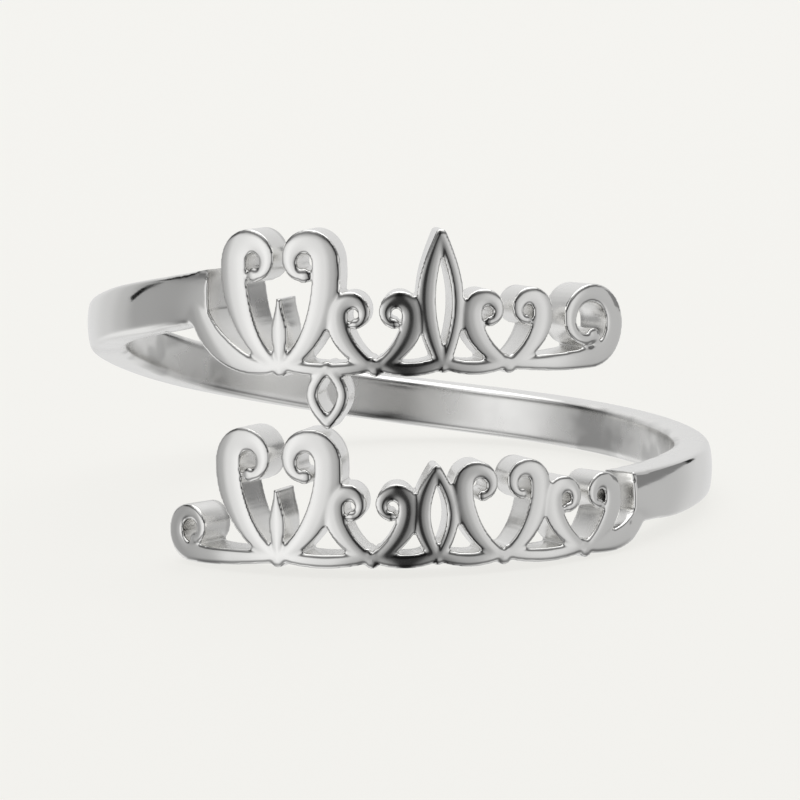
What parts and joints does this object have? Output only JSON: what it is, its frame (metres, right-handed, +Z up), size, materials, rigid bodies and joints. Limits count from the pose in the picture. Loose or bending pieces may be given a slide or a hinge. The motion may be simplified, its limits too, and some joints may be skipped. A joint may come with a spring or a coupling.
{
  "type": "finger ring with pierced scrollwork",
  "caption": "Open finger ring of polished silver whose helical band ends in two pierced rows of hearts, leaves and curls, one above the other.",
  "frame": {"origin": "on the table under the middle of the ring, where the axis of the finger hole is half way between the front and the back", "axes": "+Z up from the table, +Y to the back of the band, +X to the right end of the rows; the finger hole's axis leans 5.5 degrees back from +Z"},
  "size_m": [0.0198, 0.0201, 0.0102],
  "materials": {
    "silver": "mirror-polished silver"
  },
  "bodies": {
    "root": {"ring": "silver"}
  },
  "joints": []
}
